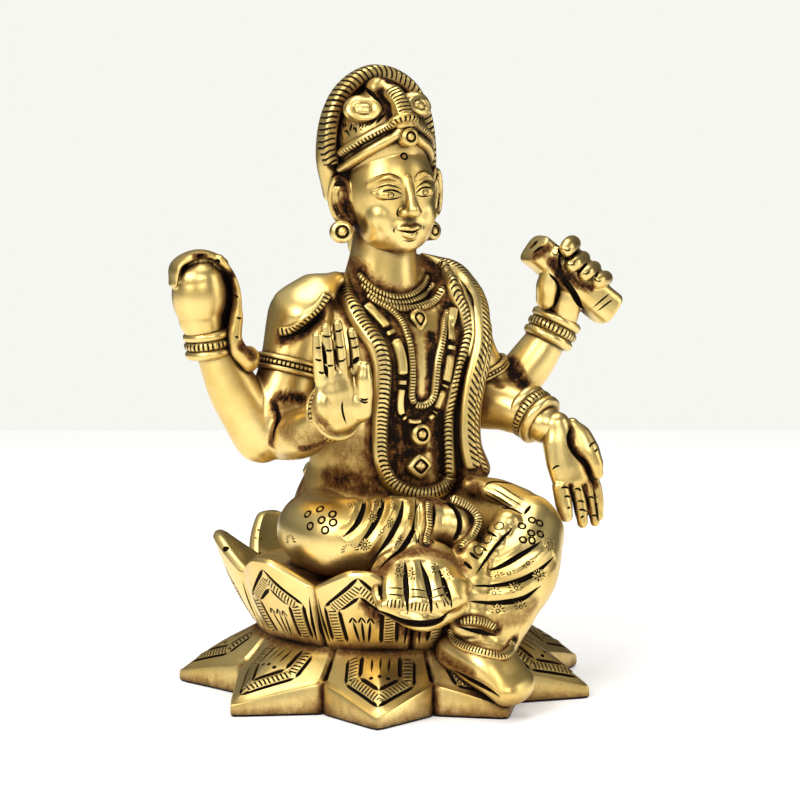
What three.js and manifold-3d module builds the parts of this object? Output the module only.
// Bala sundari idol: a small brass casting of a four-armed goddess seated on a lotus.
// Millimetres, +Z up. The figure faces -Y, so its left hand side is +X. The origin is the
// centre of the flat underside. The whole work is one casting, so it is one solid.

import * as THREE from 'three';
import { mergeVertices } from 'three/addons/utils/BufferGeometryUtils.js';
import { ParametricGeometry } from 'three/addons/geometries/ParametricGeometry.js';
import Module from 'manifold-3d';

const wasm = await Module();
wasm.setup();

// Driving dimensions of the lotus plinth
const petals = [
  { angle: -80, cupAngle: -86, reach: 42.0, lift: -4.2 },
  { angle: -45, cupAngle: -47, reach: 44.5, lift: 0.6 },
  { angle: -3, cupAngle: -5, reach: 44.5, lift: 1.4 },
  { angle: 36, cupAngle: 35, reach: 44.5, lift: 1.6 },
  { angle: 75, cupAngle: 73, reach: 44.5, lift: 1.8 },
  { angle: 114, cupAngle: 112, reach: 44.5, lift: 2.0 },
  { angle: 153, cupAngle: 154, reach: 44.8, lift: 1.6 },
  { angle: 200, cupAngle: 199, reach: 45.2, lift: 0.3 },
  { angle: 242, cupAngle: 235, reach: 44.0, lift: -0.8 },
];
const columnsPerPetal = 4;
const plate = { valleyRadius: 33.0, tipThickness: 2.4, valleyThickness: 6.6, ridge: 1.3 };
const groove = { radius: 27.6, height: 12.4 };
const cup = {
  rimRadius: 36.0, rimHeight: 31.2, valleyRadius: 32.2, valleyHeight: 26.0,
  wall: 2.4, seam: 1.0, floorHeight: 25.6, flare: 0.7,
};
const plateBand = { start: 29.4, side: 7.4, inset: 4.4, width: 2.4, depth: 0.8 };

// Driving dimensions of the figure
const neckBase = { x: 0, y: 1, z: 88 };
const headTilt = THREE.MathUtils.degToRad(-3);
const pleatDepth = 0.1;
const fingerRadius = 1.45;
const fingerSpacing = 3.1;
const toFront = new THREE.Vector3(0, -1, 0);

const radians = THREE.MathUtils.degToRad;
const { lerp, clamp } = THREE.MathUtils;

// A geometry becomes a solid once its seam is merged and its empty triangles are dropped.
// Where its faces point inwards they are turned round.
function toSolid(geometry) {
  const bare = geometry.clone();
  bare.deleteAttribute('normal');
  bare.deleteAttribute('uv');
  const merged = mergeVertices(bare, 1e-4);
  const corners = merged.index.array;
  const kept = [];
  for (let i = 0; i < corners.length; i += 3) {
    const [a, b, c] = [corners[i], corners[i + 1], corners[i + 2]];
    if (a !== b && b !== c && c !== a) kept.push([a, b, c]);
  }
  const build = (triangles) => new wasm.Manifold(new wasm.Mesh({
    numProp: 3,
    vertProperties: new Float32Array(merged.attributes.position.array),
    triVerts: new Uint32Array(triangles.flat()),
  }));
  const solid = build(kept);
  return solid.volume() > 0 ? solid : build(kept.map(([a, b, c]) => [a, c, b]));
}

// A closed surface: columns run round it, rows run from one pole to the other
function closedSurface(pointAt, columns, rows) {
  const place = (across, along, target) => pointAt(across * columns, along * rows, target);
  return toSolid(new ParametricGeometry(place, columns, rows));
}

// A rounded bar bent along its stations. Each station is x, y, z, half width, half thickness,
// and the thickness is measured towards the front vector. A fold draws chosen rows or columns in.
function limb(stations, options = {}) {
  const { around = 8, along = 4, caps = 1, front = toFront, round = 1, square = 1 } = options;
  const { fold, place } = options;
  const spine = new THREE.CatmullRomCurve3(stations.map(([x, y, z]) => new THREE.Vector3(x, y, z)));
  const rows = along + 2 * caps;
  const sizeAt = (s, item) => {
    const t = s * (stations.length - 1);
    const low = Math.min(Math.floor(t), stations.length - 2);
    return lerp(stations[low][item], stations[low + 1][item], THREE.MathUtils.smoothstep(t - low, 0, 1));
  };
  const soften = (value) => Math.sign(value) * Math.abs(value) ** square;
  return closedSurface((column, row, target) => {
    const s = clamp((row - caps) / along, 0, 1);
    const capTurn = row < caps ? 1 - row / caps : clamp((row - rows + caps) / caps, 0, 1);
    const ring = Math.cos(capTurn * Math.PI / 2);
    const past = Math.sin(capTurn * Math.PI / 2) * (row < caps ? -1 : 1);
    const turn = (column / around) * Math.PI * 2;
    const swell = fold ? fold(Math.round(s * along), Math.round(column)) : 1;
    const [wide, thick] = [sizeAt(s, 3), sizeAt(s, 4)];
    const tangent = spine.getTangent(s);
    const across = new THREE.Vector3().crossVectors(tangent, front).normalize();
    const out = new THREE.Vector3().crossVectors(across, tangent);
    target.copy(spine.getPoint(s));
    target.addScaledVector(tangent, past * Math.min(wide, thick) * round);
    target.addScaledVector(across, soften(Math.cos(turn)) * wide * ring * swell);
    target.addScaledVector(out, soften(Math.sin(turn)) * thick * ring * swell);
    if (place) target.applyMatrix4(place);
  }, around, rows);
}

// An ellipsoid
function ball([x, y, z], [rx, ry, rz], { around = 10, rows = 6, place } = {}) {
  const shape = new THREE.SphereGeometry(1, around, rows);
  shape.rotateX(Math.PI / 2).scale(rx, ry, rz).translate(x, y, z);
  if (place) shape.applyMatrix4(place);
  return toSolid(shape);
}

// A short ring round a limb, from one centre to another
function collar(from, to, radius, { around = 8, front = toFront, flat = 1 } = {}) {
  const ends = [from, to].map((end) => [...end, radius, radius * flat]);
  return limb(ends, { around, along: 1, front, round: 0.12 });
}

// A frame whose x, y and z axes point along the given vectors
function frameAt(origin, xAxis, zAxis) {
  const z = new THREE.Vector3(...zAxis).normalize();
  const x = new THREE.Vector3(...xAxis);
  x.addScaledVector(z, -z.dot(x)).normalize();
  const y = new THREE.Vector3().crossVectors(z, x);
  return new THREE.Matrix4().makeBasis(x, y, z).setPosition(...origin);
}

// Where a column of the lotus lies: its angle, and its share of the way from valley to tip
function lotusColumn(column, key = 'angle') {
  const turn = Math.floor(column / columnsPerPetal);
  const index = (turn + petals.length) % petals.length;
  const part = column / columnsPerPetal - turn;
  const here = petals[index][key];
  const wrap = (step) => {
    const other = petals[(index + step + petals.length) % petals.length][key];
    return here + ((other - here + 540) % 360) - 180;
  };
  const before = (here + wrap(-1)) / 2;
  const after = (here + wrap(1)) / 2;
  const angle = part < 0.5 ? lerp(before, here, part * 2) : lerp(here, after, part * 2 - 1);
  const edgeAngle = radians(part < 0.5 ? before : after);
  const share = 1 - Math.abs(part * 2 - 1);
  return { angle: radians(angle), tip: petals[index], edgeAngle, share };
}

// The star's straight-sided outline in plan
function outlineRadius({ angle, tip, edgeAngle }, tipRadius, valleyRadius) {
  const span = Math.abs(radians(tip.angle) - edgeAngle);
  const fromTip = Math.abs(angle - radians(tip.angle));
  return (tipRadius * valleyRadius * Math.sin(span))
    / (tipRadius * Math.sin(fromTip) + valleyRadius * Math.sin(span - fromTip));
}

// Lower tier: a star whose petals slope down to thin tips, with a low ridge along each
function buildPlate() {
  return closedSurface((column, row, target) => {
    const spot = lotusColumn(column);
    const edge = outlineRadius(spot, spot.tip.reach, plate.valleyRadius);
    const reachShare = (edge - plate.valleyRadius) / (spot.tip.reach - plate.valleyRadius);
    const edgeHeight = lerp(plate.valleyThickness, plate.tipThickness, clamp(reachShare, 0, 1));
    const middle = lerp(edge, groove.radius, 0.5);
    const middleHeight = lerp(edgeHeight, groove.height, 0.5) + plate.ridge * (spot.share - 0.3);
    const profile = [
      [0, 0], [edge, 0], [edge, edgeHeight], [middle, middleHeight],
      [groove.radius - 0.6, groove.height + 0.4], [0, groove.height],
    ];
    const [radius, height] = profile[Math.round(row)];
    target.set(radius * Math.cos(spot.angle), radius * Math.sin(spot.angle), height);
  }, petals.length * columnsPerPetal, 5);
}

// Upper tier: a flaring cup whose wall ends in nine gabled petals round a flat seat
function buildCup() {
  return closedSurface((column, row, target) => {
    const spot = lotusColumn(column, 'cupAngle');
    const gable = Math.min(1, spot.share * 1.15);
    const { lift } = spot.tip;
    const rimHeight = lerp(cup.valleyHeight, cup.rimHeight + lift, gable);
    const rimRadius = lerp(cup.valleyRadius, cup.rimRadius + lift * cup.flare, gable);
    const seam = spot.share < 0.01 ? cup.seam : 0;
    const midRadius = lerp(groove.radius, cup.valleyRadius, 0.55) + 0.5 - seam;
    const profile = [
      [0, groove.height - 2], [groove.radius - 1.4, groove.height - 2],
      [groove.radius - seam, groove.height + 0.8],
      [midRadius, lerp(groove.height, cup.valleyHeight, 0.5)],
      [cup.valleyRadius - seam * 0.6, cup.valleyHeight - 1.2],
      [rimRadius, rimHeight - 0.8], [rimRadius - cup.wall * 0.5, rimHeight],
      [rimRadius - cup.wall, rimHeight - 0.6], [cup.valleyRadius - cup.wall - 0.4, cup.floorHeight],
      [0, cup.floorHeight],
    ];
    const [radius, height] = profile[Math.round(row)];
    target.set(radius * Math.cos(spot.angle), radius * Math.sin(spot.angle), height);
  }, petals.length * columnsPerPetal, 9);
}

// The engraved band of a petal is a groove that runs up one side, round the tip and down again
function petalGroove(angle, band, surface) {
  const outline = [[band.start, -band.side], [band.tip - band.inset, 0], [band.start, band.side]];
  const turn = new THREE.Matrix4().makeRotationZ(radians(angle));
  const stations = outline.map(([along, aside]) => {
    const [radius, height] = surface(along, Math.abs(aside));
    return [radius, aside, height, band.width / 2, band.depth];
  });
  return limb(stations, { around: 3, along: 2, round: 0.5, front: band.front, place: turn });
}

function buildLotus() {
  const tiers = fuse([buildPlate(), buildCup()]);
  const plateSlope = (groove.height - plate.tipThickness) / (petals[1].reach - groove.radius);
  const plateGrooves = petals.map((petal) => petalGroove(
    petal.angle,
    { ...plateBand, tip: petal.reach, front: new THREE.Vector3(plateSlope, 0, 1).normalize() },
    (along, aside) => [along, groove.height - (along - groove.radius) * plateSlope - aside * 0.1],
  ));
  return [tiers.subtract(fuse(plateGrooves))];
}

// Legs: the right one lies folded on the seat, the left one hangs down to a petal
function buildLegs() {
  const rightLeg = limb([
    [-10, 4, 35, 9, 8], [-18.6, -6, 35, 8.6, 7.8], [-18.4, -14.2, 34.8, 8, 8.2],
    [-9, -19, 35.6, 7.4, 7.6], [0, -18.6, 36.8, 5.6, 5.8],
  ], {
    around: 10, along: 11, caps: 2, front: new THREE.Vector3(0, 0, 1),
    fold: (row) => (row > 4 && row < 11 && row % 2 ? 1 - pleatDepth : 1),
  });
  const leftThigh = limb([
    [11, 4, 35, 9, 8.5], [18, -9, 34.8, 8.6, 8.4], [21.5, -20, 34, 8, 8],
  ], { around: 10, along: 4, caps: 2, front: new THREE.Vector3(0, 0, 1) });
  const leftShin = limb([
    [21.5, -21, 33.5, 8, 8], [16.5, -26.5, 27.5, 9, 8], [11, -29.5, 21.5, 8.2, 7.4],
    [7.5, -30.5, 14.5, 6.8, 6.6],
  ], { around: 10, along: 8, caps: 2, fold: (row) => (row < 7 && row % 2 ? 1 - pleatDepth : 1) });
  const innerFold = limb([
    [5, -27, 31, 3.6, 3.6], [4.6, -30, 25, 5, 4.6], [3.4, -31.6, 18.4, 4.6, 4.4],
  ], { around: 6, along: 2 });
  const foot = limb([
    [2, -29, 12.5, 5, 4.5], [5.5, -35.5, 10.5, 6, 4.6], [8.8, -40.5, 6.2, 5.6, 3.2],
  ], { around: 8, along: 3, caps: 2, front: new THREE.Vector3(0, -0.4, 1) });
  return [rightLeg, leftThigh, leftShin, innerFold, foot];
}

// Cloth over the lap: the pleated fan in the middle, the sash end and the hem bands
function buildCloth() {
  const fan = limb([
    [-4, -25, 32, 7, 3.2], [-7.6, -31, 27.4, 10.2, 3.6], [-8.4, -34, 24, 9.4, 3],
  ], {
    around: 14, along: 2, front: new THREE.Vector3(-0.3, -0.9, 0.2),
    fold: (row, column) => (column % 2 ? 1 - pleatDepth : 1),
  });
  const fanHem = limb([
    [-16, -32, 24.2, 1.8, 1.5], [-9, -35.4, 21, 2, 1.6], [0.2, -33.8, 22.8, 1.8, 1.5],
  ], { around: 6, along: 3 });
  const sash = limb([
    [12.5, -13, 43.5, 2.4, 1.6], [17, -17.5, 42.2, 3.6, 2], [20.6, -21, 40.4, 4.6, 1.6],
  ], { around: 6, along: 3, front: new THREE.Vector3(0.2, -0.5, 0.85) });
  const instep = ball([4.4, -20.5, 37], [5, 5.5, 5.6], { around: 8, rows: 5 });
  const toes = [0, 1, 2, 3, 4].map((toe) => {
    const along = toe / 4;
    return ball(
      [lerp(14.6, 6.6, along), lerp(-25.5, -29.5, along), lerp(37.4, 29.8, along)],
      [lerp(3, 2, along), 3.2, lerp(2.4, 1.7, along)], { around: 6, rows: 4 },
    );
  });
  const hems = [
    limb([[0.8, -35.4, 18.8, 1.3, 1.6], [8, -37.6, 17.4, 1.3, 1.8], [13.6, -34.5, 16.6, 1.3, 1.6]],
      { around: 6, along: 3, front: new THREE.Vector3(0, -1, 0.3) }),
    limb([[-3.4, -34.6, 14.6, 1.4, 1.6], [5.4, -39.4, 11.6, 1.5, 1.9], [14.2, -36, 12.6, 1.4, 1.6]],
      { around: 6, along: 4, front: new THREE.Vector3(0, -1, 0.4) }),
  ];
  return [fan, fanHem, sash, instep, ...toes, ...hems];
}

function buildTorso() {
  const trunk = limb([
    [0, 4, 28, 20, 14.5], [0, 3.4, 37, 19.6, 14.2], [0, 1.8, 48, 16.4, 11.8], [0, 1.4, 56, 15.7, 11.2],
    [0.2, 0.8, 64, 16.4, 12], [0.2, 1.2, 71, 17.6, 12], [0, 2.2, 78.5, 16.5, 8.6], [0, 2.2, 83.5, 10, 6.4],
  ], { around: 12, along: 7 });
  const neck = limb([[-0.8, 2, 82, 8.6, 7.4], [-0.4, 1.2, 93, 6.8, 6.4]], { around: 10, along: 1 });
  const shoulders = [[-18.6, 2, 78], [16.2, 2, 79.4]].map((centre) => (
    ball(centre, [6.9, 6.7, 6.6], { around: 8, rows: 4 })
  ));
  return [trunk, neck, ...shoulders];
}

// Garlands, necklaces, pendants and the shoulder cloths lie on the torso as raised bands
function buildOrnaments() {
  const band = (points, halfWidth, halfThickness, options = {}) => limb(
    points.map((point) => [...point, halfWidth, halfThickness]),
    { around: 4, along: points.length - 1, round: 0.5, ...options },
  );
  const outward = new THREE.Vector3(0, -1, 0);
  const garland = band([
    [-9.6, 0.5, 86.5], [-9.4, -6.6, 80.5], [-7, -10.2, 74], [-6, -11.6, 66], [-6.6, -11, 56],
    [-5.6, -12.2, 47.6], [-1.8, -14.4, 43.2], [3.4, -15, 42.2], [8.4, -13.4, 43.8],
    [10.2, -10.6, 50], [10.6, -9.8, 61], [13.6, -8.4, 71], [15, -5, 78.5], [12.8, 1, 85.5],
  ], 2.1, 1.5, { front: outward });
  const segments = band([
    [-7.6, -5.8, 80.6], [-4.6, -9.4, 75.6], [-2.8, -11, 66], [-1.6, -10.8, 58.6], [2.6, -10.8, 55.8],
    [6.2, -10.4, 59.6], [8, -10.4, 66.5], [11.6, -6.6, 78],
  ], 1.1, 1.1, { front: outward });
  const beads = band([
    [-4.4, -7.2, 79.6], [-0.8, -10.2, 73], [0.4, -11.2, 64.4], [2.6, -11.2, 61.8], [5, -10.8, 64.4],
    [6.2, -10.2, 72], [9, -7, 78],
  ], 0.9, 1.1, { front: outward });
  const choker = band([
    [-7.6, -1.8, 85], [-4.6, -6.2, 82.4], [0.4, -8, 81], [5.4, -6.4, 82.2], [8.6, -2, 84.6],
  ], 2.4, 1.1, { front: new THREE.Vector3(0, -0.8, 0.6) });
  const pendants = [
    ball([2.4, -8.6, 77], [2.6, 2.4, 3], { around: 6, rows: 4 }),
    ball([2.6, -10.6, 53.4], [3, 2.8, 3.2], { around: 8, rows: 4 }),
    ball([2.2, -10.8, 47.2], [3.2, 3.2, 3.2], { around: 8, rows: 4 }),
  ];
  const stole = band([
    [10.6, 4, 88], [16, 0.8, 85.6], [18.2, -3.4, 80], [18.2, -6.2, 73], [16.6, -7.6, 66],
    [15, -8, 59], [14.6, -8.6, 51], [16.2, -9.2, 45],
  ], 3.2, 2.2, { front: new THREE.Vector3(0.35, -0.9, 0) });
  const stoleBack = limb([
    [12, -2, 82, 3.6, 4], [14.2, -3, 70, 4, 4.4], [12.8, -3.6, 58, 4.4, 4.6], [12.8, -4.6, 46, 4.6, 4.6],
  ], { around: 6, along: 3 });
  const shoulderPad = limb([
    [-25, 0.4, 75.6, 2.4, 1.6], [-22.4, -1.2, 80.6, 5.4, 2.2], [-16.6, -0.6, 84, 5.2, 2],
    [-11.6, 0, 86, 2, 1.4],
  ], { around: 6, along: 5, front: new THREE.Vector3(-0.5, -0.5, 0.8) });
  return [garland, segments, beads, choker, ...pendants, stole, stoleBack, shoulderPad];
}

// An open hand: x across it towards the thumb, z to the fingertips, and the palm on one side of y
function openHand(place, palmSide) {
  const palm = limb([
    [0, 0, -1, 4, 3.4], [0, 0, 4, 5.6, 3.2], [0, 0.2, 10, 6.4, 2.5], [0, 0.2, 13.5, 6.2, 1.9],
  ], { around: 7, along: 3, place });
  const lengths = [7.6, 9.6, 9.8, 8.2];
  const fingers = lengths.map((length, index) => {
    const x = (1.5 - index) * fingerSpacing;
    return limb([
      [x, 0, 11.5, fingerRadius, fingerRadius], [x, 0, 12.5 + length, fingerRadius * 0.85, fingerRadius * 0.8],
    ], { around: 5, along: 1, place });
  });
  const thumb = limb([
    [3.6, palmSide * 1.4, 3, 2.6, 2.4], [6.4, palmSide * 2.4, 8, 2.2, 2.1],
    [6.2, palmSide * 2.6, 13.4, 1.7, 1.6],
  ], { around: 5, along: 2, place });
  return [palm, ...fingers, thumb];
}

// The upper hands: one closed over a string of beads, one round a palm-leaf book
function buildBeadHand() {
  const palm = ball([-41.4, 0, 83.2], [6, 5.4, 8.4], { around: 10, rows: 5 });
  const knuckles = ball([-40.4, 0.6, 89.6], [5.4, 4.8, 4], { around: 7, rows: 4 });
  const strand = limb([
    [-36.2, -2.5, 91, 1.4, 1.6], [-34.4, -3.4, 86, 1.7, 1.8], [-33.6, -3, 79, 1.7, 1.8],
    [-30.8, -3.4, 71.6, 2.1, 2.2],
  ], { around: 5, along: 4 });
  return [palm, knuckles, strand];
}

function buildBookHand() {
  const bookFrom = [35.9, -2, 91.4];
  const bookTo = [51, -2, 78.8];
  const book = limb([[...bookFrom, 4.2, 3.6], [...bookTo, 4.2, 3.6]],
    { around: 8, along: 1, square: 0.6, round: 0.3, front: new THREE.Vector3(0.6, 0, 0.8) });
  const fist = ball([42.2, 0.6, 82.4], [7.2, 6, 7.2], { around: 8, rows: 5 });
  const fingers = [0, 1, 2, 3].map((finger) => {
    const share = finger / 3;
    const x = lerp(39.4, 47.2, share);
    const z = lerp(90, 83, share);
    return limb([
      [x + 2, 2, z + 1.8, 2, 1.8], [x + 1.6, -5, z + 2, 2, 1.9], [x - 1, -6.8, z - 1.4, 1.8, 1.7],
    ], { around: 5, along: 2, front: new THREE.Vector3(0.6, 0, 0.8) });
  });
  const thumb = limb([
    [38.4, -3.6, 79.4, 2.8, 2.6], [38, -5.4, 85.6, 2.3, 2.2],
  ], { around: 6, along: 2, caps: 2 });
  return [book, fist, ...fingers, thumb];
}

// Each side has one upper arm that splits at the elbow into a raised and a lowered forearm
function buildArms() {
  const sleeve = { around: 7, along: 3 };
  const level = { ...sleeve, front: new THREE.Vector3(0, 0, 1) };
  const upperArms = [
    limb([[-19.5, 2, 78.5, 6.4, 6.2], [-22.4, 0.6, 68, 6, 6], [-26, 0, 57.5, 6.4, 6.2]], sleeve),
    limb([[16.8, 2, 78.4, 5.8, 6], [20.8, 2.5, 68, 5.4, 5.6], [25.4, 3, 59.8, 5.8, 5.8]], sleeve),
  ];
  const raised = [
    limb([[-28.4, 0.4, 54.4, 6, 5.8], [-33.6, 0.6, 62.5, 5.4, 5.2], [-38.4, 0.4, 74.6, 4, 4]], sleeve),
    limb([[27.6, 3.4, 58.8, 5.4, 5.4], [34, 3, 64.8, 5, 5], [40.8, 1.6, 74.6, 4, 4]], sleeve),
  ];
  const lowered = [
    limb([[-24, 0, 54.8, 5.6, 5.8], [-24, -9, 55.4, 5, 5], [-23.2, -19, 58, 4.2, 4.2]], level),
    limb([[22, 1, 58.6, 5.6, 5.8], [27, -4.4, 57.4, 5.2, 5.2], [31.2, -10, 54.6, 4.2, 4.2]], level),
  ];
  const blessing = openHand(frameAt([-22.6, -22.4, 58.8], [1, 0, 0], [0.02, -0.1, 1]), -1);
  const giving = openHand(frameAt([32.6, -12, 54], [1, -0.1, 0.1], [0.2, -0.2, -1]), 1);
  return [
    ...upperArms, ...raised, ...lowered, ...blessing, ...giving,
    ...buildBeadHand(), ...buildBookHand(),
  ];
}

function buildBracelets() {
  return [
    collar([-36.9, 0.4, 71], [-38.2, 0.4, 74], 5.2),
    collar([38.6, 2, 71], [40.2, 1.8, 74], 5.2),
    collar([-23.5, -15.6, 57], [-23.2, -18.6, 57.8], 5.2, { front: new THREE.Vector3(0, 0, 1) }),
    collar([29.6, -7, 56.8], [31, -9.6, 55.2], 5.2, { front: new THREE.Vector3(0, 0, 1) }),
    collar([-22, 0.8, 69.6], [-22.8, 0.6, 66.8], 6.8),
  ];
}

// Head and crown, built upright round the neck and then leaned a little to one side
function buildHead() {
  const { x, y, z } = neckBase;
  const lean = new THREE.Matrix4().makeTranslation(x, y, z)
    .multiply(new THREE.Matrix4().makeRotationY(headTilt));
  const at = { place: lean };
  const [middle, browLine, eyeLine, noseLine, mouthLine] = [1, 18.2, 15.6, 10.7, 7.85];
  const skull = ball([middle, -1.2, 15.4], [9.5, 9.6, 12.4], { around: 10, rows: 6, ...at });
  const jaw = ball([middle, -3.2, 8.6], [7.9, 7.3, 6], { around: 8, rows: 4, ...at });
  const chin = ball([middle, -6.6, 5.8], [3.8, 3.6, 3], { around: 6, rows: 4, ...at });
  const hair = limb([
    [1, 5.5, 26, 8.4, 5.6], [1, 6, 14, 8.8, 5], [0.6, 5, 4, 6.8, 4],
  ], { around: 8, along: 2, ...at });
  const nose = limb([
    [middle, -10, browLine, 1, 0.9], [middle, -11.2, eyeLine - 0.6, 1, 1.2],
    [middle, -12.4, noseLine + 1.3, 1.8, 1.5],
  ], { around: 5, along: 2, ...at });
  const lips = limb([
    [middle - 2.9, -9.2, mouthLine + 0.4, 0.4, 0.6], [middle, -10.5, mouthLine, 1.2, 1],
    [middle + 2.9, -9.2, mouthLine + 0.4, 0.4, 0.6],
  ], { around: 5, along: 2, ...at });
  const eyes = [-1, 1].map((side) => (
    ball([middle + side * 4, -8.7, eyeLine], [2.5, 1.55, 1.3], { around: 6, rows: 4, ...at })
  ));
  const brows = [-1, 1].map((side) => limb([
    [middle + side * 1.5, -10.1, browLine - 0.2, 0.5, 0.5],
    [middle + side * 4, -9.9, browLine + 1, 0.5, 0.6],
    [middle + side * 7.4, -6.8, browLine - 0.4, 0.4, 0.4],
  ], { around: 4, along: 2, ...at }));
  const ears = [-1, 1].map((side) => (
    ball([middle + side * 10.6, 0.6, 14.8], [2, 2.6, 5], { around: 6, rows: 4, ...at })
  ));
  const earrings = [[-10.9, -1, 8.3], [9.6, 0.6, 7.6]].map(([aside, back, height]) => (
    ball([middle + aside, back, height], [2.7, 2.4, 2.8], { around: 6, rows: 4, ...at })
  ));
  return [
    skull, jaw, chin, hair, nose, lips, ...eyes, ...brows, ...ears, ...earrings, ...buildCrown(at),
  ];
}

function buildCrown(at) {
  const dome = ball([0.8, 1, 25.6], [9.9, 9.6, 11.6], { around: 10, rows: 6, ...at });
  const arch = limb([
    [-9.8, 4, 15.4, 1.6, 2.8], [-10.6, 4, 24, 2, 3], [-8.6, 4, 32.6, 2, 2.8], [-3.6, 4, 38, 2, 2.6],
    [0.8, 4, 39.9, 2.1, 2.6], [5.2, 4, 38.2, 2, 2.6], [9.6, 4, 32.6, 2, 2.8],
    [11.4, 4, 24, 2, 3], [10.8, 4, 15.4, 1.6, 2.8],
  ], { around: 6, along: 10, square: 0.8, ...at });
  const tiara = [0, 1].map((level) => {
    const rise = 3.8 * level;
    return limb([
      [-9.4, 0.2, 20.6 + rise, 1.5, 1.7], [-6.6, -6.4, 24.2 + rise, 1.5, 1.8],
      [1, -9.4, 27.6 + rise, 1.5, 1.9],
      [8.2, -6.4, 24.2 + rise, 1.5, 1.8], [11.2, 0.2, 20.6 + rise, 1.5, 1.7],
    ], { around: 4, along: 4, ...at });
  });
  const jewel = ball([1.6, -11, 27.2], [2.5, 1.8, 2.5], { around: 6, rows: 4, ...at });
  const strap = limb([
    [1.2, -9.4, 29.8, 2.2, 1.6], [1, -7, 34, 2, 1.8], [0.2, -2.4, 37, 2.2, 1.8],
  ], { around: 5, along: 4, ...at });
  const knob = ball([-0.2, -0.6, 36.6], [2.8, 2.8, 2.6], { around: 6, rows: 4, ...at });
  const discs = [-1, 1].map((side) => (
    ball([0.4 + side * 6.2, -3, 33], [3.5, 2.4, 2.9], { around: 6, rows: 4, ...at })
  ));
  return [dome, arch, ...tiara, jewel, strap, knob, ...discs];
}

// Everything is joined into one casting and returned as one mesh
function fuse(solids) {
  return wasm.Manifold.union(solids);
}

function toMesh(name, solid, material) {
  const { vertProperties, triVerts } = solid.getMesh();
  const geometry = new THREE.BufferGeometry();
  geometry.setAttribute('position', new THREE.BufferAttribute(new Float32Array(vertProperties), 3));
  geometry.setIndex(new THREE.BufferAttribute(new Uint32Array(triVerts), 1));
  geometry.computeVertexNormals();
  const mesh = new THREE.Mesh(geometry, material);
  mesh.name = name;
  return mesh;
}

const brass = new THREE.MeshStandardMaterial({ color: 0xc9a24a, roughness: 0.32, metalness: 1 });

// Joining rounded forms can seal tiny pockets between them, which the largest piece is without
const [casting] = fuse([
  ...buildLotus(), ...buildLegs(), ...buildCloth(), ...buildTorso(), ...buildOrnaments(),
  ...buildArms(), ...buildBracelets(), ...buildHead(),
]).decompose().sort((a, b) => b.volume() - a.volume());

const idol = new THREE.Group();
idol.add(toMesh('idol', casting, brass));

export default idol;
